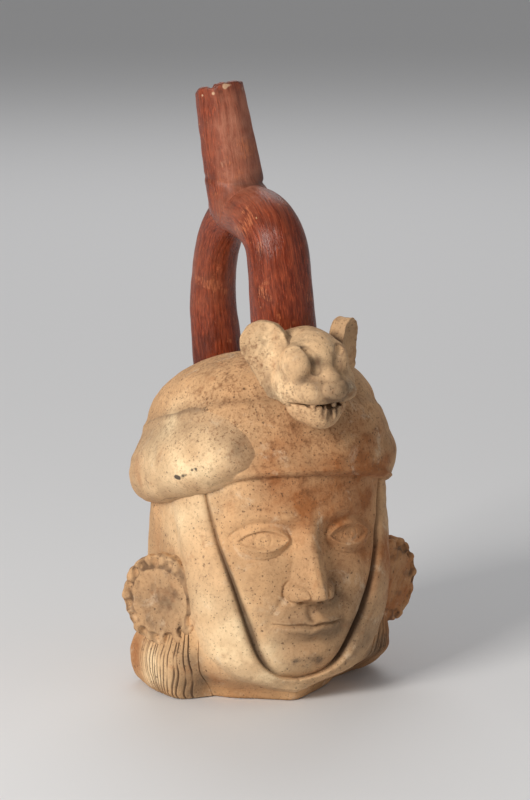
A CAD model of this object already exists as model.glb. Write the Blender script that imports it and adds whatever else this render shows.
# The looks of the stirrup-spout head bottle: every piece of clay as a dense hand-made surface over
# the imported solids, with procedural clay and slip, a pale floor and soft studio light.
#
# Shapes are worked out in millimetres as signed distances or as sections along a path, on the
# same sizes as the solids, and are written to Blender in metres.

import math

import bpy
import numpy as np
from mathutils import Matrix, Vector


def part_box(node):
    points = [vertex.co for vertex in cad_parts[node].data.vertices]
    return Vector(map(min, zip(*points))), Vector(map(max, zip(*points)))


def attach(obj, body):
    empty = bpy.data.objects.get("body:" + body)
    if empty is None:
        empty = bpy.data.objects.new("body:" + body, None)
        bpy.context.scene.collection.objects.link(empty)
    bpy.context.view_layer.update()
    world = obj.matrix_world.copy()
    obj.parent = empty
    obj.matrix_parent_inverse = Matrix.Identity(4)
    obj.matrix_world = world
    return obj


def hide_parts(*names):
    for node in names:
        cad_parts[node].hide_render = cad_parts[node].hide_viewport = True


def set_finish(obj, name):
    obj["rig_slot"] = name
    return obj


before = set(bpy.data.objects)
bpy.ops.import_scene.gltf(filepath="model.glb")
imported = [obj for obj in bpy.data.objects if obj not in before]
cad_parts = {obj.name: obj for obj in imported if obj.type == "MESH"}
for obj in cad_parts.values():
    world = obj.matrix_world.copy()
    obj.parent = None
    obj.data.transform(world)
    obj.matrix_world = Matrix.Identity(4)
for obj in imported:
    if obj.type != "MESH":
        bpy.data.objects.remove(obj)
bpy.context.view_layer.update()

MM = 0.001
TAU = 2 * math.pi

# Sizes of the solids

HEAD_TOP = 115
HEAD_SQUARENESS = 2.25
HEAD_HALF_WIDTH = 56.5
HEAD_FRONT_DEPTH = 62.5
HEAD_BACK_DEPTH = 61
SIDE_INSET = [[0, 8.5], [8, 4], [20, 0.5], [45, 0], [75, 1.7], [95, 2.7], [HEAD_TOP, 3.5]]
FRONT_INSET = [[0, 13.5], [7, 12], [14, 6.5], [24, 2], [45, 0], [75, 0.8], [95, 0.8], [HEAD_TOP, 0.2]]
BACK_INSET = [[0, 13], [10, 8], [30, 3], [60, 0], [90, 0.5], [HEAD_TOP, 4]]
HEAD_DRIFT = [[0, 0], [22, 0.4], [50, 3], [HEAD_TOP, 3.5]]
SLAB_TOP = 6.15
WALL = 5.5
SEAM_BEARING = 86

CHIN_Z = 16
FACE_THIRD = 38
EYE_WIDTH = 22
EYE_DROP = 10
NOSE_REACH = 15
NOSE_HALF_WIDTH = 8
MOUTH_HALF_WIDTH = 18
LIP_HEIGHT = 4.4
NOSE_Z = CHIN_Z + FACE_THIRD
BROW_Z = NOSE_Z + FACE_THIRD
EYE_Z = BROW_Z - EYE_DROP
MOUTH_Z = NOSE_Z - FACE_THIRD / 3

WRAP_MIDDLE = (3.5, 0, 110)
WRAP_PITCH = -18
WRAP_ROLL = 2.2
WRAP_BELOW = 16.5
WRAP_ABOVE = 17.5
WRAP_SIDE = 57
WRAP_FRONT = 62.5
WRAP_BACK = 63
WRAP_BULGE = 0.04
CROWN_HEIGHT = 34.5
CROWN_FULLNESS = 2.2
CROWN_SHRINK = 0.96
LOBE_SUNK = 5.5
LOBE_RIGHT = dict(start=-21, end=-122, height=-5.8, half_height=15.5, half_depth=16, shoulder=8)
LOBE_LEFT = dict(start=36, end=120, height=-2.5, half_height=12.5, half_depth=10.6, shoulder=0)

STRAP_THICKNESS = [[0, 3.9], [4, 3.9], [6, 2.2]]
STRAP_ARC_RADIUS = 57
STRAP_STATIONS = [
    [0, 8.6, 4.2], [13, 11, 5], [25, 18.5, 7.4], [36, 33, 10.6],
    [45, 51, 12.5], [54, 76, 12.5], [62, 100, 13],
]

DISC_RADIUS = 23
DISC_RIM = 5.5
DISC_DOME = 1.6
DISC_STEM_RADIUS = 15
DISC_Z = 47.8
DISC_BEARING = 71
BEAD_COUNT = 15
BEAD_RING = 19.4

LOCK_FROM = 49
LOCK_TO = 114
COMB_TO = 84
LOCK_TOP = 36
LOCK_RIGHT_RISE = [[0, 11], [6, 10.4], [14, 9], [20, 7], [25, 4.8], [30, 2.8], [36, 1.2]]
LOCK_LEFT_RISE = [[4, 7.5], [8, 9], [14, 8.4], [20, 6.8], [28, 5.2], [36, 3.6]]

STIRRUP_SPAN = 80
STIRRUP_PINCH = 1.5
STIRRUP_AT = (0, 8, 150)
STIRRUP_YAW = 5.8
STIRRUP_LEAN = -5
FOOT_DEPTH = -28
ARCH_HEIGHT = 81.5
ARM_FRONT = dict(foot=15.6, middle=15, bend=13.8, top=10.6, bore=8.6, shoulder=27, squareness=3.2)
ARM_BACK = dict(foot=12.4, middle=11, bend=10.7, top=10.4, bore=7.6, shoulder=57, squareness=1.7)

SPOUT_LENGTH = 68.3
SPOUT_BASE_RADIUS = 14
SPOUT_BASE = (0.4, 0, 75.2)
SPOUT_RIM_RADIUS = 11.6
SPOUT_BORE_RADIUS = 7.8
SPOUT_LEAN = -5

ANIMAL_AT = (2.5, -56.7, 163)
ANIMAL_BEARING = 10
ANIMAL_PITCH = 4

# A luted piece stands this far off what carries it, and reaches this deep into it.
LUTE = 0.25
BITE = 2.5

# The photograph and the camera that it is seen through

PHOTO_WIDTH = 530
PHOTO_HEIGHT = 800
CAMERA_LENS = 94.05
CAMERA_SENSOR = 24
CAMERA_AWAY = 1500
CAMERA_HEIGHT = 430
VIEW_TURN = math.radians(-20)
CAMERA_AIM = np.array([3.5, 0, 138])
CAMERA_AT = np.array([
    math.sin(VIEW_TURN) * CAMERA_AWAY + CAMERA_AIM[0], -math.cos(VIEW_TURN) * CAMERA_AWAY, CAMERA_HEIGHT,
])

# Pixels of the photograph where it shows a mark on the clay

BROW_CLOUD = (300, 492)
BROW_CLOUD_RIGHT = (350, 490)
CHIN_SPOT_LEFT = (295, 660)
CHIN_SPOT_RIGHT = (320, 658)
LOBE_EDGE = (138, 465)
LOBE_END = (241, 450)
CROWN_HAZE = (172, 410)
CROWN_MOTTLE = (228, 390)
CROWN_STAIN = (258, 398)
SMUDGE = [(176, 477), (179, 478), (183, 476), (186, 475), (192, 470), (196, 469)]
LUTING_CRACK = [(163, 500), (170, 498), (184, 499), (197, 499), (202, 506), (206, 498), (211, 491)]
MOULD_LINE = [(150, 420), (147, 432), (145, 446), (144.6, 460), (146, 475), (149.5, 489)]


# Arithmetic on arrays of points


def profile(stations):
    """A smooth curve through [position, value] stations, flat beyond its ends."""
    xs = np.array([s[0] for s in stations], float)
    vs = np.array([s[1] for s in stations], float)
    last = len(xs) - 1
    before = np.maximum(np.arange(last + 1) - 1, 0)
    after = np.minimum(np.arange(last + 1) + 1, last)
    slopes = (vs[after] - vs[before]) / (xs[after] - xs[before])

    def at(position):
        s = np.clip(position, xs[0], xs[-1])
        i = np.clip(np.searchsorted(xs, s, side="left") - 1, 0, last - 1)
        h = xs[i + 1] - xs[i]
        t = (s - xs[i]) / h
        ease = t * t * (3 - 2 * t)
        bend = t * (1 - t) * h
        return vs[i] + (vs[i + 1] - vs[i]) * ease + bend * ((1 - t) * slopes[i] - t * slopes[i + 1])

    return at


def smoothstep(x, low, high):
    t = np.clip((x - low) / (high - low), 0, 1)
    return t * t * (3 - 2 * t)


def bell(x, middle, half):
    return np.exp(-(((x - middle) / half) ** 2))


def join(a, b, blend):
    """The nearer of two distances, with a fillet of about that size between the shapes."""
    h = np.clip(0.5 + 0.5 * (b - a) / blend, 0, 1)
    return b + (a - b) * h - blend * h * (1 - h)


def carve_off(a, b, blend):
    """Shape a where it is outside shape b, with a rounded edge."""
    return -join(-a, b, blend)


def lumps(p, size, seed, waves=7):
    """Uneven swells of about that size, between about -1 and 1."""
    chance = np.random.RandomState(seed)
    total = np.zeros(len(p))
    for _ in range(waves):
        way = chance.normal(size=3)
        way *= TAU / size * chance.uniform(0.6, 1.5) / np.linalg.norm(way)
        total += np.sin(p @ way + chance.uniform(0, TAU))
    return total / (1.3 * math.sqrt(waves))


def turned(bearing=0, pitch=0, roll=0):
    """Rotation by a bearing about Z, a pitch about X and a roll about Y, in degrees."""
    a, b, c = (math.radians(v) for v in (bearing, pitch, roll))
    rz = np.array([[math.cos(a), -math.sin(a), 0], [math.sin(a), math.cos(a), 0], [0, 0, 1]])
    rx = np.array([[1, 0, 0], [0, math.cos(b), -math.sin(b)], [0, math.sin(b), math.cos(b)]])
    ry = np.array([[math.cos(c), 0, math.sin(c)], [0, 1, 0], [-math.sin(c), 0, math.cos(c)]])
    return rz @ rx @ ry


class Place:
    """Axes of a piece: where they stand and how they are turned."""

    def __init__(self, at, bearing=0, pitch=0, roll=0, inside=None):
        self.at = np.array(at, float)
        self.turn = turned(bearing, pitch, roll)
        if inside is not None:
            self.at = inside.out(self.at[None])[0]
            self.turn = inside.turn @ self.turn

    def into(self, p):
        return (p - self.at) @ self.turn

    def out(self, q):
        return q @ self.turn.T + self.at


def on_bearing(theta, radius, z):
    return np.stack([radius * np.sin(theta), -radius * np.cos(theta), z + 0 * theta], -1)


def outward(theta):
    """Level unit vectors away from the middle, on these bearings."""
    return on_bearing(theta, 1.0, 0.0 * theta)


def oval_radius(theta, side, depth, squareness):
    x = np.abs(np.sin(theta)) / side
    y = np.abs(np.cos(theta)) / depth
    return (x**squareness + y**squareness) ** (-1 / squareness)


def ellipsoid(p, at, radii):
    q = (p - np.array(at, float)) / np.array(radii, float)
    k0 = np.linalg.norm(q, axis=1)
    k1 = np.linalg.norm(q / np.array(radii, float), axis=1)
    return k0 * (k0 - 1) / np.maximum(k1, 1e-6)


def capsule(p, a, b, radius, radius_end=None):
    a, b = np.array(a, float), np.array(b, float)
    way = b - a
    t = np.clip((p - a) @ way / (way @ way), 0, 1)
    end = radius if radius_end is None else radius_end
    return np.linalg.norm(p - a - t[:, None] * way, axis=1) - (radius + (end - radius) * t)


def track(p, points, radius):
    """Distance to a round bar along a list of points."""
    nearest = np.full(len(p), 1e9)
    for a, b in zip(points[:-1], points[1:]):
        nearest = np.minimum(nearest, capsule(p, a, b, radius))
    return nearest


# Meshes


def evaluate(shape, points, chunk=150000):
    return np.concatenate([shape(points[i : i + chunk]) for i in range(0, len(points), chunk)])


def grid_of(counts):
    return np.stack(np.meshgrid(*[np.arange(n) for n in counts], indexing="ij"), -1).reshape(-1, 3)


BLOCK = 8


def sampled(shape, low, high, step):
    """The shape's distances on a grid, worked out only in blocks near its surface."""
    blocks = np.ceil((np.array(high, float) - low) / (BLOCK * step)).astype(int)
    cells = grid_of(blocks)
    middle = evaluate(shape, low + (cells * BLOCK + (BLOCK - 1) / 2) * step)
    near = np.abs(middle) < BLOCK * step * 1.3 + 0.6
    values = middle.reshape(blocks)
    for axis in range(3):
        values = np.repeat(values, BLOCK, axis)
    places = (cells[near][:, None] * BLOCK + grid_of([BLOCK] * 3)[None]).reshape(-1, 3)
    values[tuple(places.T)] = evaluate(shape, low + places * step)
    for axis in range(3):
        edge = np.moveaxis(values, axis, 0)
        edge[0] = np.maximum(edge[0], 0.01)
        edge[-1] = np.maximum(edge[-1], 0.01)
    return values


def surface(shape, low, high, step):
    """Points and four-sided faces of a shape's surface, one point in each grid cell it crosses."""
    low = np.array(low, float)
    values = sampled(shape, low, high, step)
    inside = values < 0
    size = np.array(values.shape) - 1
    corners = grid_of([2, 2, 2])
    part = lambda field, c: field[c[0] : c[0] + size[0], c[1] : c[1] + size[1], c[2] : c[2] + size[2]]
    count = sum(part(inside, c).astype(np.int8) for c in corners)
    crossed = (count > 0) & (count < 8)
    cells = np.argwhere(crossed)
    at_corner = [part(values, c)[crossed] for c in corners]
    total = np.zeros((len(cells), 3))
    hits = np.zeros(len(cells))
    for i, a in enumerate(corners):
        for j, b in enumerate(corners):
            if j <= i or np.abs(a - b).sum() != 1:
                continue
            va, vb = at_corner[i], at_corner[j]
            cut = (va < 0) != (vb < 0)
            t = np.where(cut, va / np.where(cut, va - vb, 1), 0)
            total += np.where(cut, 1, 0)[:, None] * (a + t[:, None] * (b - a))
            hits += cut
    points = low + (cells + total / hits[:, None]) * step
    number = np.full(size, -1, np.int32)
    number[crossed] = np.arange(len(cells))
    faces = []
    for axis in range(3):
        u, v = (axis + 1) % 3, (axis + 2) % 3
        first = [slice(0, n) for n in size]
        first[u] = slice(1, size[u])
        first[v] = slice(1, size[v])
        second = list(first)
        second[axis] = slice(1, size[axis] + 1)
        here, there = inside[tuple(first)], inside[tuple(second)]
        edges = np.argwhere(here != there)
        origin = edges + np.array([first[k].start for k in range(3)])
        leaving = here[tuple(edges.T)]
        step_u, step_v = np.eye(3, dtype=int)[u], np.eye(3, dtype=int)[v]
        around = [origin - step_u - step_v, origin - step_v, origin, origin - step_u]
        quad = np.stack([number[tuple(c.T)] for c in around], 1)
        faces.append(np.where(leaving[:, None], quad, quad[:, ::-1]))
    return points, np.concatenate(faces)


STENCIL = np.array([[1, -1, -1], [-1, -1, 1], [-1, 1, -1], [1, 1, 1]], float)


def slope_at(shape, points, reach):
    found = [evaluate(shape, points + corner * reach) for corner in STENCIL]
    slope = sum(corner * f[:, None] for corner, f in zip(STENCIL, found)) / (4 * reach)
    return sum(found) / 4, slope


def settle(shape, points, reach, passes=2, limit=1.0):
    """Moves points onto the shape's surface."""
    for _ in range(passes):
        value, slope = slope_at(shape, points, reach)
        steep = np.maximum((slope**2).sum(1), 0.05)
        move = slope * (value / steep)[:, None]
        far = np.linalg.norm(move, axis=1)
        points = points - move * np.minimum(1, limit / np.maximum(far, 1e-9))[:, None]
    return points


def mesh_object(name, points, faces, crease=62):
    """An object of millimetre points and faces given as a list of index arrays."""
    mesh = bpy.data.meshes.new(name)
    mesh.vertices.add(len(points))
    mesh.vertices.foreach_set("co", (points * MM).astype(np.float32).ravel())
    sizes = np.concatenate([np.full(len(f), f.shape[1]) for f in faces])
    mesh.loops.add(int(sizes.sum()))
    mesh.loops.foreach_set("vertex_index", np.concatenate([f.ravel() for f in faces]).astype(np.int32))
    mesh.polygons.add(len(sizes))
    starts = np.concatenate([[0], np.cumsum(sizes)[:-1]])
    mesh.polygons.foreach_set("loop_start", starts.astype(np.int32))
    mesh.update(calc_edges=True)
    mesh.validate()
    mesh.polygons.foreach_set("use_smooth", np.ones(len(mesh.polygons), bool))
    mesh.set_sharp_from_angle(angle=math.radians(crease))
    made = bpy.data.objects.new(name, mesh)
    bpy.context.scene.collection.objects.link(made)
    return made


def solid_from(name, shape, low, high, step):
    points, faces = surface(shape, low, high, step)
    points = settle(shape, points, step * 0.3)
    return mesh_object(name, points, [faces]), points


def loft(name, rings, ends="caps", crease=62):
    """A closed solid from closed rings of equally many points: capped, looped or run to poles."""
    count, around = rings.shape[:2]
    points = rings.reshape(-1, 3)
    index = np.arange(count * around).reshape(count, around)
    upper = np.concatenate([index, index[:1]]) if ends == "loop" else index
    a, b = upper[:-1], upper[1:]
    quads = np.stack([a, np.roll(a, -1, 1), np.roll(b, -1, 1), b], -1).reshape(-1, 4)
    faces = [quads]
    if ends == "caps":
        faces += [index[0][::-1][None], index[-1][None]]
    if ends == "poles":
        poles = np.stack([rings[0].mean(0), rings[-1].mean(0)])
        first, last = index[0], index[-1]
        low = np.stack([np.roll(first, -1), first, np.full(around, len(points))], 1)
        high = np.stack([last, np.roll(last, -1), np.full(around, len(points) + 1)], 1)
        faces += [low, high]
        points = np.concatenate([points, poles])
    a, b, c, d = (points[quads[:, i]] for i in range(4))
    volume = (np.cross(b, c) * a).sum() + (np.cross(c, d) * a).sum()
    if volume < 0:
        faces = [f[:, ::-1] for f in faces]
    return mesh_object(name, points, faces, crease), points


# Head


side_inset = profile(SIDE_INSET)
front_inset = profile(FRONT_INSET)
back_inset = profile(BACK_INSET)
head_drift = profile(HEAD_DRIFT)
# How far the foot draws in on each bearing, in degrees and millimetres.
foot_hollow = profile([
    [-180, 0], [-64, 0], [-57, 1.5], [-50, 4.5], [-44, 5.5], [-34, 5.3], [-21, 4.6], [-9, 1.6], [-2, -0.8],
    [2, -0.8], [8, 1.8], [16, 6], [27, 9], [38, 11], [50, 12], [60, 10.5], [70, 5.5], [80, 0], [180, 0],
])


def head_radius(theta, z):
    depth = np.where(np.cos(theta) > 0, HEAD_FRONT_DEPTH - front_inset(z), HEAD_BACK_DEPTH - back_inset(z))
    radius = oval_radius(theta, HEAD_HALF_WIDTH - side_inset(z), depth, HEAD_SQUARENESS)
    low = 1 - smoothstep(z, 2, 17)
    degrees = np.degrees(np.arctan2(np.sin(theta), np.cos(theta)))
    return radius - low * foot_hollow(degrees)


nose_ridge = profile([
    [NOSE_Z - 3.5, 0], [NOSE_Z - 0.5, 0.42], [NOSE_Z + 2.6, 0.98], [NOSE_Z + 5, 1.02], [NOSE_Z + 9, 0.9],
    [EYE_Z - 5, 0.5], [BROW_Z - 4, 0.27], [BROW_Z + 8, 0],
])
nose_spread = profile([
    [NOSE_Z, 1.05], [NOSE_Z + 6, 1], [NOSE_Z + 16, 0.76], [BROW_Z - 4, 0.74], [BROW_Z + 6, 1],
])


def lens(x, z, half_width, up, down):
    """How far outside an almond a point lies, for an eye centred on the origin."""
    upper = (half_width**2 + up**2) / (2 * up)
    lower = (half_width**2 + down**2) / (2 * down)
    above = np.hypot(x, z - (up - upper)) - upper
    below = np.hypot(x, z + (down - lower)) - lower
    return np.maximum(above, below)


def eye_relief(across, z):
    dx = across - EYE_WIDTH
    dz = z - EYE_Z + 0.06 * dx
    socket = -4.4 * bell(across, EYE_WIDTH - 1, EYE_WIDTH * 0.6) * bell(z, EYE_Z + 1.5, 9)
    ball_share = np.maximum(0, 1 - (dx / 13) ** 2 - (dz / 9) ** 2)
    ball = 5 * ball_share**0.8
    out = lens(dx, dz, EYE_WIDTH / 2, 4.9, 3.5)
    opening = -0.85 * smoothstep(-out, -0.15, 0.7)
    upper = 1 + 0.35 * smoothstep(dz, -1, 2)
    rim = 0.75 * upper * bell(out, 0.9, 0.85)
    fold = -0.75 * bell(out, 3.2, 0.7) * smoothstep(dz, 0, 3)
    bag = -0.35 * bell(out, 3.6, 1.1) * smoothstep(-dz, 1, 3)
    iris = np.hypot(dx * 0.98, dz - 0.5)
    ring = -0.28 * bell(iris, 3.7, 0.4) * smoothstep(-out, 0.2, 0.8)
    pupil = -0.35 * smoothstep(-iris, -1.6, -0.7)
    return socket + ball + opening + rim + fold + bag + ring + pupil


def mouth_relief(x, z):
    across = np.abs(x)
    share = across / MOUTH_HALF_WIDTH
    inside = np.maximum(0, 1 - share**2)
    seam = MOUTH_Z + 0.35 + 0.9 * bell(across, 5, 4) * 0.5 - 0.35 * bell(across, 0, 2.5) + 0.5 * share**2
    full = 3.4 * bell(across, 0, 21) * bell(z, MOUTH_Z + 1, 13)
    bow = 3.4 + 0.9 * bell(across, 3.6, 2.6) - 0.5 * bell(across, 0, 1.8)
    above = (z - seam) / (bow * (0.35 + 0.65 * inside) + 1e-6)
    upper = LIP_HEIGHT * 0.85 * inside**0.8 * np.exp(-(((above - 0.5) / 0.62) ** 2))
    below = (seam - z) / ((4.6 * (0.3 + 0.7 * inside)) + 1e-6)
    lower = LIP_HEIGHT * 0.95 * np.maximum(0, 1 - (across / (MOUTH_HALF_WIDTH - 2)) ** 2) ** 0.8
    lower = lower * np.exp(-(((below - 0.55) / 0.6) ** 2))
    line = -1.9 * bell(z, seam, 0.75) * smoothstep(-across, -MOUTH_HALF_WIDTH - 0.5, -MOUTH_HALF_WIDTH + 3)
    corner = -1.1 * bell(across, MOUTH_HALF_WIDTH + 0.2, 2.2) * bell(z, MOUTH_Z + 0.8, 2.4)
    under = -1.5 * bell(across, 0, 12) * bell(z, MOUTH_Z - 9.2, 2.8)
    groove = -0.9 * bell(across, 0, 1.9) * smoothstep(z, MOUTH_Z + 4, MOUTH_Z + 6.5)
    groove = groove * smoothstep(-z, -NOSE_Z - 0.5, -NOSE_Z + 3)
    return full + upper + lower + line + corner + under + groove


def face_relief(x, z):
    """How far the face stands forward of the plain head, at a place across and up it."""
    across = np.abs(x)
    spread = NOSE_HALF_WIDTH * nose_spread(z)
    ridge = 1 - smoothstep(across / spread, 0.12, 1.5)
    nose = NOSE_REACH * nose_ridge(z) * ridge
    tip = 1.3 * bell(across, 0, 4.2) * bell(z, NOSE_Z + 4.6, 4)
    wing_out = np.hypot((across - 8.4) / 4.1, (z - NOSE_Z - 3.6) / 4.6)
    wing = 5.4 * np.maximum(0, 1 - wing_out**2) ** 0.75
    wing_line = -0.8 * bell(wing_out, 1.16, 0.16) * smoothstep(across, 7, 10.5)
    nostril = -4.6 * bell(across, 4.5, 2.1) * bell(z, NOSE_Z - 1.1, 1.3)
    brow_line = BROW_Z + 2 - ((across - 18) / 8.5) ** 2 * 0.9
    brow = 3 * bell(z, brow_line, 4.6) * smoothstep(across, 1, 12) * np.maximum(0, 1 - (across / 46) ** 2)
    cheek = 2.6 * bell(across, 32, 15) * bell(z, NOSE_Z + 10, 14)
    fold_x = 11.5 + (NOSE_Z + 3 - z) * 0.62
    fold = -0.75 * bell(across, fold_x, 1.9) * smoothstep(z, MOUTH_Z - 1, MOUTH_Z + 8)
    fold = fold * smoothstep(-z, -NOSE_Z - 6, -NOSE_Z + 1)
    chin = 4.8 * bell(across, 0, 14.5) * bell(z, CHIN_Z + 8.5, 7.6)
    temple = -1.2 * bell(across, 42, 9) * bell(z, BROW_Z + 2, 14)
    return (nose + tip + wing + wing_line + nostril + eye_relief(across, z) + brow + cheek + fold
            + mouth_relief(x, z) + chin + temple)


# Strap: its course on the unrolled head


strap_bearing = profile([[i, s[0]] for i, s in enumerate(STRAP_STATIONS)])
strap_height = profile([[i, s[1]] for i, s in enumerate(STRAP_STATIONS)])
strap_half_width = profile([[i, s[2]] for i, s in enumerate(STRAP_STATIONS)])
strap_thickness = profile(STRAP_THICKNESS)
LAST_STATION = len(STRAP_STATIONS) - 1


def strap_course(along):
    """Middle, forward way and station of the strap, on arc length across and height."""
    def middle(t):
        station = np.abs(t) * LAST_STATION
        arc = np.sign(t) * np.radians(strap_bearing(station)) * STRAP_ARC_RADIUS
        return np.stack([arc, strap_height(station)], -1)

    way = middle(np.minimum(1, along + 0.01)) - middle(np.maximum(-1, along - 0.01))
    way /= np.linalg.norm(way, axis=-1, keepdims=True)
    return middle(along), way, np.abs(along) * LAST_STATION


def strap_edge(share, count=480):
    """The strap's edge on the face side, as points on the unrolled head, with their stations."""
    middle, way, station = strap_course(np.linspace(-1, 1, count))
    across = np.stack([-way[:, 1], way[:, 0]], 1)
    return middle + across * (share * strap_half_width(station))[:, None], across, station


EDGE, EDGE_ACROSS, EDGE_STATION = strap_edge(1.0)


def beside_strap(theta, z):
    """Distance over the face from the strap's inner edge, and the station there."""
    flat = np.stack([theta * STRAP_ARC_RADIUS, z + 0 * theta], -1).reshape(-1, 2)
    off = np.empty(len(flat))
    station = np.empty(len(flat))
    for i in range(0, len(flat), 20000):
        gap = flat[i : i + 20000, None] - EDGE[None]
        nearest = (gap**2).sum(-1).argmin(1)
        row = np.arange(len(nearest))
        off[i : i + 20000] = (gap[row, nearest] * EDGE_ACROSS[nearest]).sum(-1)
        station[i : i + 20000] = EDGE_STATION[nearest]
    return off, station


groove_depth = profile([[0, 0.5], [1, 0.7], [2, 2.2], [3, 3.2], [4, 2.4], [5, 1.3], [6, 0.9]])
groove_width = profile([[0, 1.4], [2, 2.0], [3, 2.4], [4, 1.7], [6, 1.1]])


def strap_groove(theta, z):
    """How deep the face dips beside the strap: steep on the strap's side, then a soft lip."""
    off, station = beside_strap(theta, z)
    width = groove_width(station)
    dip = groove_depth(station) * np.where(off < 0.3, smoothstep(off, -3, -1), bell(off, 0.3, width))
    lip = 0.35 * bell(off, 2.9 * width, 1.3 * width)
    return dip - lip, dip


def head_point(theta, z, grow=0.0, groove=0.0):
    """The head's surface on a bearing at a height; groove is how far it dips there."""
    theta = np.asarray(theta, float)
    z = z + 0 * theta
    at = on_bearing(theta, head_radius(theta, z), z)
    facing = smoothstep(np.cos(theta), 0.45, 0.75) * smoothstep(z, CHIN_Z - 6, CHIN_Z + 2)
    forward = facing * face_relief(at[..., 0], z)
    at = at + outward(theta) * (np.asarray(grow) - groove)[..., None]
    at[..., 0] += head_drift(z)
    at[..., 1] -= forward
    return at


def head_gap(p):
    """Distance outside the head."""
    x, y, z = p[:, 0] - head_drift(p[:, 2]), p[:, 1], p[:, 2]
    first = np.arctan2(x, -y)
    facing = smoothstep(np.cos(first), 0.45, 0.75) * smoothstep(z, CHIN_Z - 6, CHIN_Z + 2)
    y = y + facing * face_relief(x, z)
    theta = np.arctan2(x, -y)
    return (np.hypot(x, y) - head_radius(theta, z)) * 0.95


# Headdress


SLANTED = Place(WRAP_MIDDLE, 0, WRAP_PITCH, WRAP_ROLL)
CROWN_FOOT = WRAP_ABOVE + 0.3
wrap_swell = profile([
    [-WRAP_BELOW, 0.1], [-WRAP_BELOW + 2.5, 0.75], [-WRAP_BELOW / 2, 0.95], [0, 1],
    [WRAP_ABOVE * 0.6, 0.6], [WRAP_ABOVE, -0.45],
])


def wrap_radius(theta):
    depth = np.where(np.cos(theta) > 0, WRAP_FRONT, WRAP_BACK)
    return oval_radius(theta, WRAP_SIDE, depth, HEAD_SQUARENESS)


def wrap_gap(q):
    """Distance outside the wrap, on its own slanted axes."""
    theta = np.arctan2(q[:, 0], -q[:, 1])
    z = q[:, 2]
    radius = wrap_radius(theta) * (1 + WRAP_BULGE * wrap_swell(z))
    degrees = np.degrees(theta)
    brow = smoothstep(degrees, -34, -22) * (1 - smoothstep(degrees, 60, 74))
    hem = brow * (0.75 * bell(z, -WRAP_BELOW + 1.6, 1.2) - 0.75 * bell(z, -WRAP_BELOW + 4.6, 1.9))
    side = (np.hypot(q[:, 0], q[:, 1]) - radius - hem) * 0.98
    ends = np.maximum(-WRAP_BELOW - z, z - WRAP_ABOVE - 0.6)
    return -join(-side, -ends, 2.2)


def crown_gap(q):
    """Distance outside the crown, on the wrap's slanted axes."""
    theta = np.arctan2(q[:, 0], -q[:, 1])
    rho = np.hypot(q[:, 0], q[:, 1])
    rise = WRAP_ABOVE + CROWN_HEIGHT - CROWN_FOOT
    radius = CROWN_SHRINK * wrap_radius(theta)
    a = rho / radius
    b = np.maximum(0, q[:, 2] - CROWN_FOOT) / rise
    n = CROWN_FULLNESS
    g = np.maximum((a**n + b**n) ** (1 / n), 1e-6)
    steep = np.hypot((a / g) ** (n - 1) / radius, (b / g) ** (n - 1) / rise)
    return np.maximum((g - 1) / np.maximum(steep, 1e-4), CROWN_FOOT - 8 - q[:, 2])


def headdress_gap(p):
    """Distance outside wrap and crown together, with a soft crease between them."""
    q = SLANTED.into(p)
    both = join(wrap_gap(q), crown_gap(q), 7.0)
    return both - 0.45 * lumps(p, 34, 11) - 0.12 * lumps(p, 9, 12)


def lobe_gap(q, lobe):
    """Distance outside a rounded roll that lies along the wrap, on the wrap's slanted axes."""
    theta = np.degrees(np.arctan2(q[:, 0], -q[:, 1]))
    rho = np.hypot(q[:, 0], q[:, 1])
    middle = (lobe["start"] + lobe["end"]) / 2
    reach = abs(lobe["end"] - lobe["start"]) / 2
    a = (rho - wrap_radius(np.radians(theta)) + LOBE_SUNK) / lobe["half_depth"]
    front = np.clip((theta - middle) / reach * np.sign(-lobe["end"]), 0, 1)
    half_height = lobe["half_height"] * (1 - 0.2 * front**2)
    b = (q[:, 2] - lobe["height"] - 1.5 * front**2) / half_height
    c = np.abs(theta - middle) / reach
    h = a * a + b * b
    g = h**1.1 + c**4.2
    arc = np.radians(reach) * np.maximum(rho, 20)
    steep = np.sqrt(
        (2.2 * h**0.1 * a / lobe["half_depth"]) ** 2
        + (2.2 * h**0.1 * b / half_height) ** 2
        + (4.2 * c**3.2 / arc) ** 2
    )
    return (g - 1) / np.maximum(steep, 0.01)


def lobe_shape(lobe, seed):
    def shape(p):
        under = headdress_gap(p)
        q = SLANTED.into(p)
        body = lobe_gap(q, lobe) - 0.5 * lumps(p, 26, seed) - 0.12 * lumps(p, 8, seed + 1)
        tip = np.degrees(np.arctan2(q[:, 0], -q[:, 1]) * np.sign(lobe["end"])) - abs(lobe["start"])
        above = smoothstep(q[:, 2] - lobe["height"], 1, 10) * smoothstep(tip, 0, 16)
        joined = join(body, under + 0.3, 0.9 + 2.6 * smoothstep(tip, 10, 34) + lobe["shoulder"] * above)
        return np.maximum(np.maximum(joined, body - 1.6 - 6.5 * above), -(under + BITE))

    return shape


# Stirrup and spout


STIRRUP = Place(STIRRUP_AT, STIRRUP_YAW, 0, STIRRUP_LEAN)
SPOUT = Place(SPOUT_BASE, 0, 0, SPOUT_LEAN, inside=STIRRUP)


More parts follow.
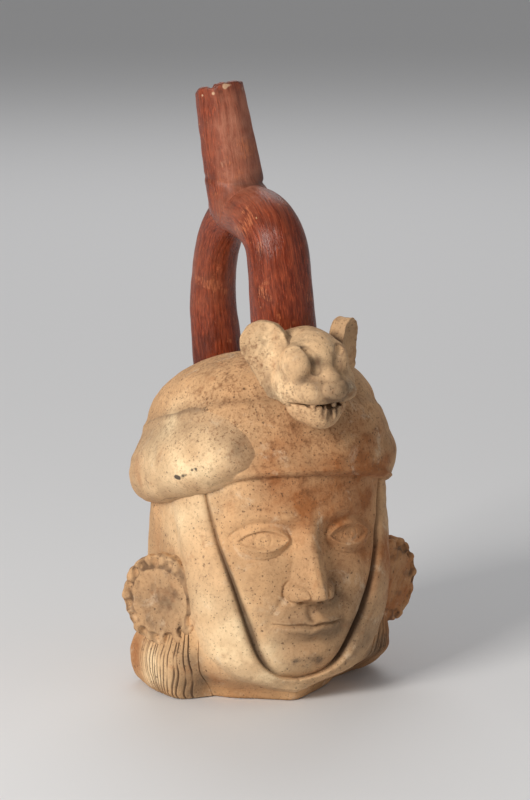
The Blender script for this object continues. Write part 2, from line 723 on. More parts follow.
def arm_course(end, arm, count=260):
    """Points along one arm's middle line on the stirrup's axes, evenly spaced, with their ways."""
    leg_top = ARCH_HEIGHT - arm["shoulder"]
    radius = STIRRUP_SPAN / 2
    share = np.linspace(0, 1, 200)[:-1]
    leg = np.stack([
        radius - STIRRUP_PINCH * (1 - share) ** 2,
        FOOT_DEPTH + (leg_top - FOOT_DEPTH) * share,
    ], 1)
    turn = np.linspace(0, math.radians(98), 400)
    bend = 2 / arm["squareness"]
    arch = np.stack([
        radius * np.sign(np.cos(turn)) * np.abs(np.cos(turn)) ** bend,
        leg_top + arm["shoulder"] * np.abs(np.sin(turn)) ** bend,
    ], 1)
    line = np.concatenate([leg, arch])
    for _ in range(12):
        line[1:-1] = (line[:-2] + 2 * line[1:-1] + line[2:]) / 4
    run = np.concatenate([[0], np.cumsum(np.linalg.norm(np.diff(line, axis=0), axis=1))])
    even = np.linspace(0, run[-1], count)
    y, z = np.interp(even, run, line[:, 0]), np.interp(even, run, line[:, 1])
    for _ in range(3):
        y[1:-1] = (y[:-2] + 2 * y[1:-1] + y[2:]) / 4
        z[1:-1] = (z[:-2] + 2 * z[1:-1] + z[2:]) / 4
    middle = np.stack([0 * y, end * y, z], 1)
    way = np.gradient(middle, axis=0)
    way /= np.linalg.norm(way, axis=1, keepdims=True)
    return middle, way, even


def arm_radius(arm):
    shares = ((0, "foot"), (0.25, "foot"), (0.55, "middle"), (0.84, "bend"), (1, "top"))
    return profile([[share, arm[level]] for share, level in shares])


ARM_COURSES = {end: arm_course(end, arm) for end, arm in ((-1, ARM_FRONT), (1, ARM_BACK))}


def arms_gap(p):
    """Distance outside both arms near the top of the arch."""
    q = STIRRUP.into(p)
    gaps = []
    for end, arm in ((-1, ARM_FRONT), (1, ARM_BACK)):
        middle = ARM_COURSES[end][0][110::5]
        radius = arm_radius(arm)(np.linspace(0, 1, len(ARM_COURSES[end][0]))[110::5])
        away = np.sqrt(((q[:, None] - middle[None]) ** 2).sum(-1)) - radius
        gaps.append(away.min(1))
    return join(gaps[0], gaps[1], 2.0)


def build_arm(name, end, arm, seed):
    middle, way, run = ARM_COURSES[end]
    share = np.linspace(0, 1, len(middle))
    across = np.stack([0 * share, way[:, 2], -way[:, 1]], 1)
    sides = 150
    turn = np.arange(sides) / sides * TAU

    def tube(rows, radius, rough):
        cos, sin = np.cos(turn)[None, :, None], np.sin(turn)[None, :, None]
        out = across[rows][:, None] * cos + np.array([1.0, 0, 0]) * sin
        ring = middle[rows][:, None] + out * radius[:, None, None]
        flat = ring.reshape(-1, 3)
        uneven = 0.26 * lumps(flat, 34, seed) + 0.08 * lumps(flat, 10, seed + 1)
        facets = 0.1 * np.sin(9 * turn[None] + 2.2 * np.sin(rows[:, None] / 37))
        lift = (uneven.reshape(len(rows), sides) + facets) * rough
        return ring + out * lift[..., None]

    rows = np.arange(len(middle))
    outer = tube(rows, arm_radius(arm)(share), 1.0)
    coarse = rows[::-14]
    inner = tube(coarse, np.full(len(coarse), float(arm["bore"])), 0.0)
    rings = STIRRUP.out(np.concatenate([outer, inner]).reshape(-1, 3)).reshape(-1, sides, 3)
    made, points = loft(name, rings, ends="loop")
    along = np.concatenate([run, run[coarse]])
    flow = np.stack(np.broadcast_arrays(along[:, None], (turn * 13)[None]), -1).reshape(-1, 2)
    return made, points, flow


spout_radius = profile([
    [-2, 7], [3, 9.8], [9, 12.9], [15, SPOUT_BASE_RADIUS - 0.1], [21, SPOUT_BASE_RADIUS],
    [46, (SPOUT_BASE_RADIUS + SPOUT_RIM_RADIUS) / 2], [SPOUT_LENGTH, SPOUT_RIM_RADIUS],
])
# The rim is worn and chipped: how far it stands above or below its full height, across the view.
rim_wear = profile([
    [-11.5, -2.2], [-10, -1.2], [-8, -0.4], [-5.7, -0.6], [-4.3, -1.5], [-2.9, -1.5], [-1.4, -0.2],
    [0, 0], [2, 0.2], [8, 0], [11, -0.7],
])
RIM_TILT = 0.16
NECK_CREASE = 21.4


def spout_shape(p):
    q = SPOUT.into(p)
    rho = np.hypot(q[:, 0], q[:, 1])
    h = q[:, 2]
    theta = np.arctan2(q[:, 1], q[:, 0])
    across = q[:, 0] * math.cos(VIEW_TURN) + q[:, 1] * math.sin(VIEW_TURN)
    near = q[:, 0] * math.sin(VIEW_TURN) - q[:, 1] * math.cos(VIEW_TURN)
    uneven = 0.25 * lumps(p, 26, 31) + 0.1 * lumps(p, 8, 32) + 0.1 * np.sin(9 * theta + h / 30)
    crease = h + 0.28 * across
    strong = 0.3 + 0.7 * smoothstep(across, -3, 11)
    ring = -1.0 * strong * bell(crease, NECK_CREASE, 1.2) + 0.3 * bell(crease, NECK_CREASE - 3, 2.0)
    tube = (rho - spout_radius(h) - uneven - ring) * 0.99
    rim = h - (SPOUT_LENGTH + rim_wear(across) + RIM_TILT * near + 0.3 * lumps(p, 4, 33))
    tube = -join(-tube, -rim, 1.2)
    tube = np.maximum(tube, -h - 2)
    arms = arms_gap(p)
    joined = join(tube, arms + LUTE, 5.5)
    joined = np.maximum(joined, tube - 3.2)
    joined = np.maximum(joined, np.maximum(-(arms + BITE), -h - 3))
    bore = np.maximum(rho - SPOUT_BORE_RADIUS - 0.25 * lumps(p, 12, 34), 8 - h)
    return carve_off(joined, bore, 1.0)


# Ear ornaments


def disc_shape(side, faces, standoff, size, seed):
    """A beaded disc on a stem: where its beads, the pits between them and its rim are."""
    seat = head_point(np.array([math.radians(side * DISC_BEARING)]), DISC_Z, np.array([standoff]))[0]
    place = Place(seat, side * faces)
    chance = np.random.RandomState(seed)
    turns = (np.arange(BEAD_COUNT) + 0.5 + chance.uniform(-0.14, 0.14, BEAD_COUNT)) / BEAD_COUNT * TAU
    degrees = np.degrees(turns)
    beaded = (degrees > 60) & (degrees < 342)
    turns = turns[beaded]
    count = len(turns)
    ring = BEAD_RING + chance.uniform(-0.4, 0.4, count)
    forward = -side
    beads = np.stack([forward * ring * np.cos(turns), 0.5 + chance.uniform(-0.4, 0.4, count),
                      ring * np.sin(turns)], 1)
    sizes = chance.uniform(2.6, 3.5, count)
    gaps = turns + 0.46 / BEAD_COUNT * TAU + chance.uniform(-0.04, 0.04, count)
    pit_ring = BEAD_RING - 0.4
    pits = np.stack([forward * pit_ring * np.cos(gaps), -1.3 + 0 * gaps, pit_ring * np.sin(gaps)], 1)
    pit_sizes = chance.uniform(1.2, 1.9, count)

    def shape(p):
        q = place.into(p) / size
        rho = np.hypot(q[:, 0], q[:, 2])
        out = -q[:, 1]
        turn = np.arctan2(q[:, 2], forward * q[:, 0])
        scallop = 0.42 * np.cos(BEAD_COUNT * turn + 0.6) * smoothstep(-np.cos(turn - 0.45), -0.9, -0.3)
        lip = 0.5 * bell(rho, DISC_RADIUS - 2.0, 1.4) - 0.5 * bell(rho, BEAD_RING - 3.4, 2.4)
        face = out - DISC_DOME * 0.6 * (1 - (rho / DISC_RADIUS) ** 2) - lip + 0.3
        plate = -join(-(rho - DISC_RADIUS + 0.4 - scallop), -face, 1.8)
        plate = np.maximum(plate, -out - DISC_RIM)
        stem = np.maximum(rho - DISC_STEM_RADIUS, np.maximum(out, -out - 21))
        body = join(plate, stem, 5)
        for middle, radius in zip(beads, sizes):
            body = join(body, ellipsoid(q, middle, (radius, radius * 0.75, radius)), 1.2)
        for middle, radius in zip(pits, pit_sizes):
            body = carve_off(body, ellipsoid(q, middle, (radius * 0.9, radius * 1.4, radius * 1.15)), 1.9)
        body = body * size - 0.3 * lumps(p, 13, seed) - 0.32 * lumps(p, 4.5, seed + 1)
        return np.maximum(body, -(head_gap(p) + 3))

    return shape


# Animal's head


ANIMAL = Place(ANIMAL_AT, ANIMAL_BEARING, ANIMAL_PITCH)
MOUTH_LEVEL = -11.0


def sided(q):
    """The point mirrored onto the animal's own left."""
    return np.stack([np.abs(q[:, 0]), q[:, 1], q[:, 2]], 1)


def ball(p, x, y, z, radius):
    return np.linalg.norm(p - np.array([x, y, z], float), axis=1) - radius


CRESCENT = [(9.6, -15.6, 13.8), (7.0, -18.2, 11.2), (6.0, -19.6, 8.2), (6.2, -20.6, 5.2)]


def skull_gap(q):
    """Distance outside the animal's skull and muzzle, without its mouth."""
    m = sided(q)
    head = ellipsoid(q, (0, 0, 2), (19.3, 20, 18.5))
    head = join(head, ellipsoid(q, (0, -12.5, -4.5), (15, 16, 9)), 6)
    head = join(head, ellipsoid(m, (11.2, -9, -5), (8.6, 10.5, 9.5)), 5)
    head = join(head, ellipsoid(q, (0, -9.8, 10.0), (10.5, 7.2, 6.5)), 6)
    head = join(head, capsule(q, (0, -13.5, 4.2), (0.2, -24.6, 0.6), 5.0, 4.4), 1.6)
    head = join(head, ellipsoid(m, (8.2, -20.6, -5.6), (6.6, 6.4, 5.2)), 4)
    head = join(head, ellipsoid(q, (-12.6, -12.8, 6.6), (6.8, 9.0, 8.8)), 2.0)
    head = join(head, ellipsoid(q, (10.4, -11.6, 6.6), (5.0, 7.6, 8.6)), 2.0)
    head = carve_off(head, track(m, CRESCENT, 1.9), 1.5)
    head = join(head, ellipsoid(q, (0.6, -26.6, -3.1), (7.4, 5.2, 4.8)), 0.5)
    return join(head, ball(q, 10.4, -24.2, -5.4, 3.0), 1.4)


HOLES = [
    ((-9.8, -17, -11.0), (-9.4, -25, -11.6), 0.95), ((5.8, -17, -11.2), (6.0, -27, -11.6), 0.9),
    ((10.6, -14, -11.0), (11.0, -25, -11.6), 0.9), ((-3.0, -17, -11.6), (-3.4, -27, -12.2), 0.7),
]


def mouth_gap(q):
    """Distance outside the holes of the half-closed mouth."""
    mouth = ellipsoid(q, (1.4, -22, -12.0), (3.6, 7.5, 1.7))
    for a, b, radius in HOLES:
        mouth = np.minimum(mouth, capsule(q, a, b, radius))
    return mouth


def skull_shape(p):
    q = ANIMAL.into(p)
    head = skull_gap(q) - 0.28 * lumps(p, 12, 41) - 0.12 * lumps(p, 4.5, 42)
    lip = MOUTH_LEVEL + 0.25 * lumps(p, 7, 43)
    head = carve_off(head, np.maximum(q[:, 1] + 13.5, q[:, 2] - lip), 0.9)
    head = carve_off(head, mouth_gap(q), 0.5)
    head = join(head, capsule(q, (2.0, -24.0, -9.6), (2.0, -24.4, -11.5), 1.5, 1.1), 0.3)
    under = headdress_gap(p)
    head = join(head, under + LUTE, 2.0)
    head = np.maximum(head, skull_gap(q) - 2.2)
    return np.maximum(head, -(under + BITE))


def jaw_gap(q):
    """Distance outside the lower jaw: a bowl hung under the muzzle."""
    bowl = ellipsoid(q, (0, -10.5, -11.6), (14.6, 14.9, 12.6))
    return join(bowl, ellipsoid(q, (0, -17.5, -18.5), (7.4, 6.4, 5.6)), 3)


def jaw_shape(p):
    q = ANIMAL.into(p)
    jaw = jaw_gap(q) - 0.25 * lumps(p, 10, 51) - 0.12 * lumps(p, 4, 52)
    lip = MOUTH_LEVEL - 0.55 + 0.25 * lumps(p, 7, 43)
    jaw = carve_off(jaw, lip - q[:, 2], 0.9)
    jaw = carve_off(jaw, ellipsoid(q, (1.0, -27.6, -14.8), (6.2, 5.0, 4.8)), 1.2)
    for x, lean in ((-1.7, -0.5), (2.5, 0.6)):
        jaw = join(jaw, capsule(q, (x, -23.6, -12.4), (x + lean, -23.6, -17.6), 1.05, 0.8), 0.7)
    jaw = carve_off(jaw, capsule(q, (0.5, -24.2, -13.6), (0.2, -24.2, -17.6), 0.75), 0.4)
    jaw = carve_off(jaw, mouth_gap(q), 0.5)
    under = headdress_gap(p)
    jaw = join(jaw, under + LUTE, 1.2)
    jaw = np.maximum(jaw, jaw_gap(q) - 1.5)
    return np.maximum(jaw, -(under + BITE))


def fang_shape(side):
    x = side * 7.7

    def shape(p):
        q = ANIMAL.into(p)
        fang = capsule(q, (x, -21.8, MOUTH_LEVEL + 1.2), (x * 1.02, -22.9, MOUTH_LEVEL - 1.9), 1.8, 1.0)
        return fang - 0.25 * lumps(p, 3, 61 + side)

    return shape


def ear_shape(at, faces, tilt, top, bottom, length, thickness, dish, seed, root):
    """A plate with an egg-shaped outline, wide above and narrow below, hollowed on its face."""
    place = Place(at, faces, 0, tilt, inside=ANIMAL)

    def shape(p):
        q = place.into(p)
        x, out, z = q[:, 0], -q[:, 1], q[:, 2]
        side = np.abs(x)
        b = (bottom - top) / length
        a = math.sqrt(1 - b * b)
        k = -side * b + (z + length) * a
        low = np.hypot(side, z + length) - bottom
        high = np.hypot(side, z) - top
        flank = side * a + (z + length) * b - bottom
        outline = np.where(k < 0, low, np.where(k > a * length, high, flank))
        inner = np.clip(-outline / top, 0, 1)
        half = thickness / 2
        slab = np.abs(out + dish * inner**0.7) - half + 0.9
        edge = outline + 0.9
        body = np.minimum(np.maximum(slab, edge), 0)
        body = body + np.hypot(np.maximum(slab, 0), np.maximum(edge, 0)) - 0.9
        body = body - 0.25 * lumps(p, 9, seed) - 0.1 * lumps(p, 3.5, seed + 1)
        skull = skull_gap(ANIMAL.into(p))
        under = headdress_gap(p)
        joined = join(body, skull + LUTE, root)
        joined = np.maximum(joined, body - 0.6 * root)
        return np.maximum(joined, np.maximum(-(skull + BITE), -(under + BITE)))

    return shape


EAR_RIGHT = ear_shape((-20.9, 2.6, 13.6), -40, -14, 11.3, 3.6, 22.5, 5.0, 1.9, 101, 3.6)
EAR_LEFT = ear_shape((25.6, 6.6, 15.4), 30, 10, 6.2, 8.4, 14, 8.0, 3.4, 105, 5.0)


# Building the pieces


PIECES = {}


def keep(made, points, slot, dirt=None, flow=None):
    """Records a piece with its millimetre points and what the materials read from it."""
    PIECES[made.name] = dict(object=made, points=points, dirt=dirt, flow=flow)
    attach(made, "root")
    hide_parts(made.name.replace("clay_", ""))
    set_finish(made, slot)


def closed_in(shape, points, reach):
    """How closed-in each point of a shape's surface is, from 0 in the open to 1 in a pit."""
    value, slope = slope_at(shape, points, 0.25)
    normal = slope / np.maximum(np.linalg.norm(slope, axis=1, keepdims=True), 1e-6)
    ahead = evaluate(shape, points + normal * reach)
    return np.clip((reach * 0.97 - ahead) / reach * 2.2, 0, 1)


seam = math.radians(SEAM_BEARING)
face_half_count = 150
face_span = math.radians(46)
cheek_count = 62
FACE_BEARINGS = np.concatenate([
    np.linspace(-seam, -face_span, cheek_count)[:-1],
    np.linspace(-face_span, face_span, 2 * face_half_count),
    np.linspace(face_span, seam, cheek_count)[1:],
])
NAPE_BEARINGS = np.linspace(seam, TAU - seam, 210)
HEAD_ROWS = np.concatenate([np.linspace(SLAB_TOP, 30, 48)[:-1], np.linspace(30, 100, 162)[:-1],
                            np.linspace(100, 119, 26)])
SEAM_RIDGE = 0.28


def skin_swell(points, theta):
    """The head's uneven skin, and the ridge where its two halves meet."""
    to_seam = np.degrees(np.abs(np.abs(np.arctan2(np.sin(theta), np.cos(theta))) - seam))
    return 0.4 * lumps(points, 38, 1) + 0.12 * lumps(points, 11, 2) + SEAM_RIDGE * bell(to_seam, 0, 1.1)


def head_skin(bearings):
    theta, z = np.meshgrid(bearings, HEAD_ROWS, indexing="ij")
    groove, dip = strap_groove(theta.ravel(), z.ravel())
    flat = head_point(theta.ravel(), z.ravel(), 0 * z.ravel(), groove)
    flat += outward(theta.ravel()) * skin_swell(flat, theta.ravel())[:, None]
    return flat.reshape(theta.shape + (3,)), dip.reshape(theta.shape)


def build_head_half(name, bearings):
    outer, dip = head_skin(bearings)
    heights = np.array([119, 90, 60, 35, 18, SLAB_TOP])
    theta, z = np.meshgrid(bearings, heights, indexing="ij")
    inner = on_bearing(theta, head_radius(theta, z) - WALL, z)
    inner[..., 0] += head_drift(z)
    rings = np.concatenate([outer, inner], 1)
    made, points = loft(name, rings)
    dirt = np.concatenate([np.clip(dip / 1.6, 0, 1), np.zeros(inner.shape[:2])], 1).ravel()
    return made, points, dirt


def build_slab():
    bearings = np.concatenate([FACE_BEARINGS[:-1], NAPE_BEARINGS[:-1]])
    heights = np.array([0.0, 0.35, 0.9, 1.6, 2.4, 3.3, 4.2, 5.2, SLAB_TOP])
    insets = np.array([2.2, 1.1, 0.5, 0.2, 0.05, 0, 0, 0, 0])
    rings = []
    for height, inset in zip(heights, insets):
        at = head_point(bearings, height + 0 * bearings, 0 * bearings - inset)
        at = at + outward(bearings) * skin_swell(at, bearings)[:, None]
        at[:, 2] = height
        rings.append(at)
    inner = [at * np.array([s, s, 1]) for at, s in ((rings[0], 0.5), (rings[-1], 0.5))]
    return loft("clay_foot_slab", np.stack([inner[0]] + rings + [inner[1]]), ends="poles")


def build_strap():
    along = np.linspace(-1, 1, 620)
    middle, way, station = strap_course(along)
    across = np.stack([-way[:, 1], way[:, 0]], 1)
    shares = np.concatenate([np.linspace(-1.25, 0.75, 50)[:-1], np.linspace(0.75, 1, 16)])
    width, thick = strap_half_width(station), strap_thickness(station)
    domed = smoothstep(shares, -1.22, -0.3) * (1 - np.clip(shares, 0, 1) ** 9) ** 0.55
    domed = domed * (1 - 0.1 * shares**2)
    deep = groove_depth(station) * 0.9
    low = np.where(shares < 0, -0.4, 0)[None] - np.where(shares > 0, 1, 0)[None] * deep[:, None]
    ridge = 0.4 * bell(shares, -0.8, 0.07)[None] * smoothstep(-station, -2.6, -1.2)[:, None]
    lift = low + (thick[:, None] - low) * np.clip(domed, 0, 1)[None] + ridge
    flat = middle[:, None] + across[:, None] * (shares[None] * width[:, None])[..., None]
    outer = head_point(flat[..., 0] / STRAP_ARC_RADIUS, flat[..., 1], lift)
    inner_shares = np.linspace(1, -1, 7)
    flat_in = middle[:, None] + across[:, None] * (inner_shares[None] * width[:, None])[..., None]
    inner = head_point(flat_in[..., 0] / STRAP_ARC_RADIUS, flat_in[..., 1], -3.6 + 0 * flat_in[..., 0])
    skin = outer.reshape(-1, 3)
    uneven = 0.4 * lumps(skin, 38, 1) + 0.22 * lumps(skin, 13, 22) + 0.1 * lumps(skin, 5, 23)
    out = outward(flat[..., 0].ravel() / STRAP_ARC_RADIUS)
    outer = outer + (out * uneven[:, None]).reshape(outer.shape)
    made, points = loft("clay_chin_strap", np.concatenate([outer, inner], 1))
    dark = smoothstep(shares, 0.93, 1.0)[None] * smoothstep(deep, 0.5, 2)[:, None]
    dirt = np.concatenate([dark, np.zeros(inner.shape[:2])], 1).ravel()
    return made, points, dirt


def build_lock(name, side, rise_stations, lift, seed):
    chance = np.random.RandomState(seed)
    combed = np.linspace(LOCK_FROM, COMB_TO, 330)
    plain = np.linspace(COMB_TO, LOCK_TO, 40)[1:]
    bearings = np.concatenate([combed, plain])
    foot_rows = lift + np.array([0, 0.3, 0.7, 1.2, 1.8])
    heights = np.concatenate([foot_rows, np.linspace(lift + 2.6, LOCK_TOP, 60)])
    rise = profile(rise_stations)
    degrees, z = np.meshgrid(bearings, heights, indexing="ij")
    lines = 15 if side < 0 else 17
    bold = 1.15 if side < 0 else 1.35
    crowding = 1 if side < 0 else 1.35
    cut = np.zeros_like(degrees)
    shares = (np.arange(lines) + chance.uniform(0, 0.4, lines)) / lines
    starts = LOCK_FROM + 1.2 + (COMB_TO - LOCK_FROM - 1.5) * shares**crowding
    for i, start in enumerate(starts):
        lean = 0.13 + 0.05 * (i / lines) + chance.uniform(-0.02, 0.02)
        wave = 0.07 * np.sin(z / chance.uniform(7, 13) + chance.uniform(0, TAU))
        foot_turn = 5.5 * (1 - smoothstep(z, 0, 17)) * (1 - smoothstep(start, 60, 78))
        course = start + lean * (z - 4) + wave + foot_turn
        depth = bold * chance.uniform(0.4, 0.85) * (1 - 0.6 * smoothstep(i / lines, 0.62, 1.0))
        width = bold * chance.uniform(0.17, 0.32)
        broken = smoothstep(np.sin(z / chance.uniform(4, 8) + chance.uniform(0, TAU)), -1.1, -0.7)
        cut = np.maximum(cut, depth * broken * bell(degrees, course, width))
    front = smoothstep(degrees - LOCK_FROM, -1.5, 13 if side < 0 else 20) ** 0.9
    rear = 1 - smoothstep(degrees, LOCK_TO - 16, LOCK_TO) * 0.97
    below = smoothstep(z, lift - 0.6, lift + 2.6) ** 0.5
    top = 1 - smoothstep(z, 22, LOCK_TOP) * (0.35 + 0.62 * smoothstep(degrees, 82, 98))
    level = rise(z) * front * rear * top * (0.86 + 0.14 * below)
    outer = head_point(np.radians(side * degrees), z, level - cut)
    flat = outer.reshape(-1, 3)
    uneven = 0.3 * lumps(flat, 22, seed) + 0.1 * lumps(flat, 6, seed + 1)
    out = outward(np.radians(side * degrees).ravel())
    outer = (flat + out * uneven[:, None]).reshape(outer.shape)
    inner_heights = np.array([LOCK_TOP, 24, 14, lift])
    deg_in, z_in = np.meshgrid(bearings, inner_heights, indexing="ij")
    inner = head_point(np.radians(side * deg_in), z_in, -2.5 + 0 * z_in)
    made, points = loft(name, np.concatenate([outer, inner], 1))
    dirt = np.concatenate([np.clip(cut / 0.34, 0, 1), np.zeros(inner.shape[:2])], 1).ravel()
    return made, points, dirt


def rim_points(bearings):
    """Where wrap and crown meet: the headdress's surface at one level of its slanted axes."""
    radius = wrap_radius(bearings) * 0.98
    for _ in range(12):
        here = SLANTED.out(on_bearing(bearings, radius, CROWN_FOOT))
        there = SLANTED.out(on_bearing(bearings, radius + 0.2, CROWN_FOOT))
        gap = headdress_gap(here)
        steep = np.maximum((headdress_gap(there) - gap) / 0.2, 0.25)
        radius = radius - np.clip(gap / steep, -2, 2)
    return SLANTED.out(on_bearing(bearings, radius, CROWN_FOOT)), radius


def build_wrap(name, bearings):
    theta = bearings[:, None]
    under = np.linspace(0.9, 1.0, 8)[None, :-1]
    heights = np.concatenate([[-16.4, -16.2, -15.9, -15.5], np.linspace(-15, WRAP_ABOVE - 0.4, 76)])
    low = on_bearing(theta + 0 * under, wrap_radius(theta) * under, -WRAP_BELOW + 0 * (theta + under))
    swollen = wrap_radius(theta) * (1 + 0.03 * (np.abs(heights) < 15))
    side = on_bearing(theta + 0 * heights[None], swollen, heights[None] + 0 * theta)
    outer = SLANTED.out(np.concatenate([low, side], 1).reshape(-1, 3))
    outer = settle(headdress_gap, outer, 0.2, passes=4, limit=2.0)
    rim, rim_radius = rim_points(bearings)
    tucked = SLANTED.out(on_bearing(bearings, rim_radius - 3, CROWN_FOOT))
    outer = np.concatenate([outer.reshape(len(bearings), -1, 3), rim[:, None], tucked[:, None]], 1)
    inner_z = np.array([8, -4, -WRAP_BELOW])
    hollow = CROWN_SHRINK * (wrap_radius(theta) - WALL)
    inner = on_bearing(theta + 0 * inner_z[None], hollow, inner_z[None] + 0 * theta)
    inner = SLANTED.out(inner.reshape(-1, 3)).reshape(len(bearings), -1, 3)
    return loft(name, np.concatenate([outer, inner], 1))


def build_crown():
    count = 420
    theta = np.linspace(0, TAU, count, endpoint=False)[None]
    turn = np.linspace(0, math.pi / 2, 84)[1:-1][:, None]
    rise = WRAP_ABOVE + CROWN_HEIGHT - CROWN_FOOT
    share = np.sin(turn)
    width = (1 - share**CROWN_FULLNESS) ** (1 / CROWN_FULLNESS)
    level = CROWN_FOOT + rise * share
    outer = on_bearing(theta + 0 * turn, CROWN_SHRINK * wrap_radius(theta) * width, level + 0 * theta)
    rim, rim_radius = rim_points(theta[0])
    hidden = on_bearing(theta, rim_radius[None] - 3, CROWN_FOOT + 0 * theta)
    outer = SLANTED.out(outer.reshape(-1, 3))
    outer = settle(headdress_gap, outer, 0.2, passes=4, limit=2.0).reshape(len(turn), count, 3)
    turn_in = np.linspace(math.pi / 2, 0, 7)[1:][:, None]
    share_in = np.sin(turn_in)
    width_in = (1 - share_in**CROWN_FULLNESS) ** (1 / CROWN_FULLNESS)
    inner = on_bearing(theta + 0 * turn_in, (CROWN_SHRINK * wrap_radius(theta) - WALL) * width_in,
                       CROWN_FOOT - 3 + (rise + 3 - WALL) * share_in + 0 * theta)
    inner = SLANTED.out(inner.reshape(-1, 3)).reshape(len(turn_in), count, 3)
    hidden = SLANTED.out(hidden.reshape(-1, 3)).reshape(1, count, 3)
    return loft("clay_headdress_crown", np.concatenate([inner, hidden, rim[None], outer]), ends="poles")


def box_of(node, margin):
    """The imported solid's box in millimetres, grown by a margin on each side."""
    low, high = (np.array(v) * 1000 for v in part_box(node))
    return low - margin, high + margin


def build_shape(node, shape, margin, step, reach):
    low, high = box_of(node, margin)
    made, points = solid_from("clay_" + node, shape, low, high, step)
    return made, points, closed_in(shape, points, reach)


def modelled(shape, margin, step, reach=1.2):
    """A builder for a piece that is given by its shape."""
    return lambda node: build_shape(node, shape, margin, step, reach)


def headdress_piece(node):
    if node == "headdress_crown":
        made, points = build_crown()
    elif node == "headdress_wrap_front":
        made, points = build_wrap("clay_" + node, np.linspace(-seam, seam, 330))
    else:
        made, points = build_wrap("clay_" + node, np.linspace(seam, TAU - seam, 330))
    return made, points, closed_in(headdress_gap, points, 2.5) * 0.5


def red_arm(node, end, arm, seed):
    made, points, flow = build_arm("clay_" + node, end, arm, seed)
    return made, points, None, flow


def red_spout(node):
    made, points, dirt = build_shape(node, spout_shape, 6, 0.5, 1.5)
    q = SPOUT.into(points)
    flow = np.stack([q[:, 2] + 150, np.arctan2(q[:, 1], q[:, 0]) * 13], 1)
    return made, points, dirt, flow


BUILDERS = [
    ("face_mould_half", "buff_clay", lambda n: build_head_half("clay_" + n, FACE_BEARINGS)),
    ("nape_mould_half", "buff_clay", lambda n: build_head_half("clay_" + n, NAPE_BEARINGS)),
    ("foot_slab", "orange_clay", lambda n: build_slab()),
    ("chin_strap", "pale_clay", lambda n: build_strap()),
    ("hair_lock_right", "orange_clay", lambda n: build_lock("clay_" + n, -1, LOCK_RIGHT_RISE, 0.6, 71)),
    ("hair_lock_left", "orange_clay", lambda n: build_lock("clay_" + n, 1, LOCK_LEFT_RISE, 4, 75)),
    ("headdress_wrap_front", "buff_clay", headdress_piece),
    ("headdress_wrap_back", "buff_clay", headdress_piece),
    ("headdress_crown", "buff_clay", headdress_piece),
    ("headdress_lobe_right", "pale_clay", modelled(lobe_shape(LOBE_RIGHT, 15), 12, 0.6, 2.0)),
    ("headdress_lobe_left", "buff_clay", modelled(lobe_shape(LOBE_LEFT, 18), 12, 0.6, 2.0)),
    ("ear_ornament_right", "buff_clay", modelled(disc_shape(-1, 54, 6, 1.0, 81), 4, 0.42)),
    ("ear_ornament_left", "orange_clay", modelled(disc_shape(1, 38, 6.2, 0.93, 85), 4, 0.42)),
    ("stirrup_arm_front", "red_slip", lambda n: red_arm(n, -1, ARM_FRONT, 91)),
    ("stirrup_arm_back", "red_slip", lambda n: red_arm(n, 1, ARM_BACK, 94)),
    ("spout", "red_slip", red_spout),
    ("animal_head", "pale_clay", modelled(skull_shape, 7, 0.42)),
    ("animal_jaw", "pale_clay", modelled(jaw_shape, 6, 0.4)),
    ("animal_fang_right", "pale_clay", modelled(fang_shape(-1), 5, 0.3)),
    ("animal_fang_left", "pale_clay", modelled(fang_shape(1), 5, 0.3)),
    ("animal_ear_right", "pale_clay", modelled(EAR_RIGHT, 9, 0.4)),
    ("animal_ear_left", "pale_clay", modelled(EAR_LEFT, 9, 0.4)),
]

for node, slot, build in BUILDERS:
    made, points, *rest = build(node)
    keep(made, points, slot, *rest)


# Paint: where the clay is warm, pale, grey or dirty, as smooth patches on the object


def patches(points, spots):
    """How strongly the spots lie on each point, from 0 to 1."""
    total = np.zeros(len(points))
    for x, y, z, radius, strength in spots:
        total += strength * np.exp(-((points - np.array([x, y, z])) ** 2).sum(1) / radius**2)
    return np.clip(total, 0, 1)


def on_animal(x, y, z):
    return tuple(ANIMAL.out(np.array([[x, y, z]], float))[0])


SPOUT_SEEN_RADIUS = 12


def on_spout(across, height):
    """A place on the spout's viewed side, so far to the right of its middle line."""
    near = math.sqrt(SPOUT_SEEN_RADIUS**2 - across**2)
    x = across * math.cos(VIEW_TURN) + near * math.sin(VIEW_TURN)
    y = across * math.sin(VIEW_TURN) - near * math.cos(VIEW_TURN)
    return tuple(SPOUT.out(np.array([[x, y, height]], float))[0])


def on_stirrup(x, y, z):
    return tuple(STIRRUP.out(np.array([[x, y, z]], float))[0])


CAST_FROM = 1250
CAST_STEPS = 160
CAST_SHARE = 0.8
STRAP_COVER = 3
near_lobe = lobe_shape(LOBE_RIGHT, 15)


def seen_at(shape, pixels):
    """The points of a shape that pixels of the photograph show, in millimetres."""
    ahead = (CAMERA_AIM - CAMERA_AT) / np.linalg.norm(CAMERA_AIM - CAMERA_AT)
    right = np.cross(ahead, [0, 0, 1])
    right /= np.linalg.norm(right)
    up = np.cross(right, ahead)
    x, y = np.array(pixels, float).T[:, :, None]
    way = ahead * CAMERA_LENS / CAMERA_SENSOR * PHOTO_HEIGHT
    way = way + right * (x - PHOTO_WIDTH / 2) + up * (PHOTO_HEIGHT / 2 - y)
    way /= np.linalg.norm(way, axis=1, keepdims=True)
    away = np.full(len(way), float(CAST_FROM))
    for _ in range(CAST_STEPS):
        away += CAST_SHARE * shape(CAMERA_AT + way * away[:, None])
    return CAMERA_AT + way * away[:, None]


def side_gap(p):
    """Distance outside the strap, the headdress and its near lobe."""
    return np.minimum.reduce([head_gap(p) - STRAP_COVER, headdress_gap(p), near_lobe(p)])


def on_face(pixel):
    return tuple(seen_at(head_gap, [pixel])[0])


def on_headdress(pixel):
    return tuple(seen_at(side_gap, [pixel])[0])


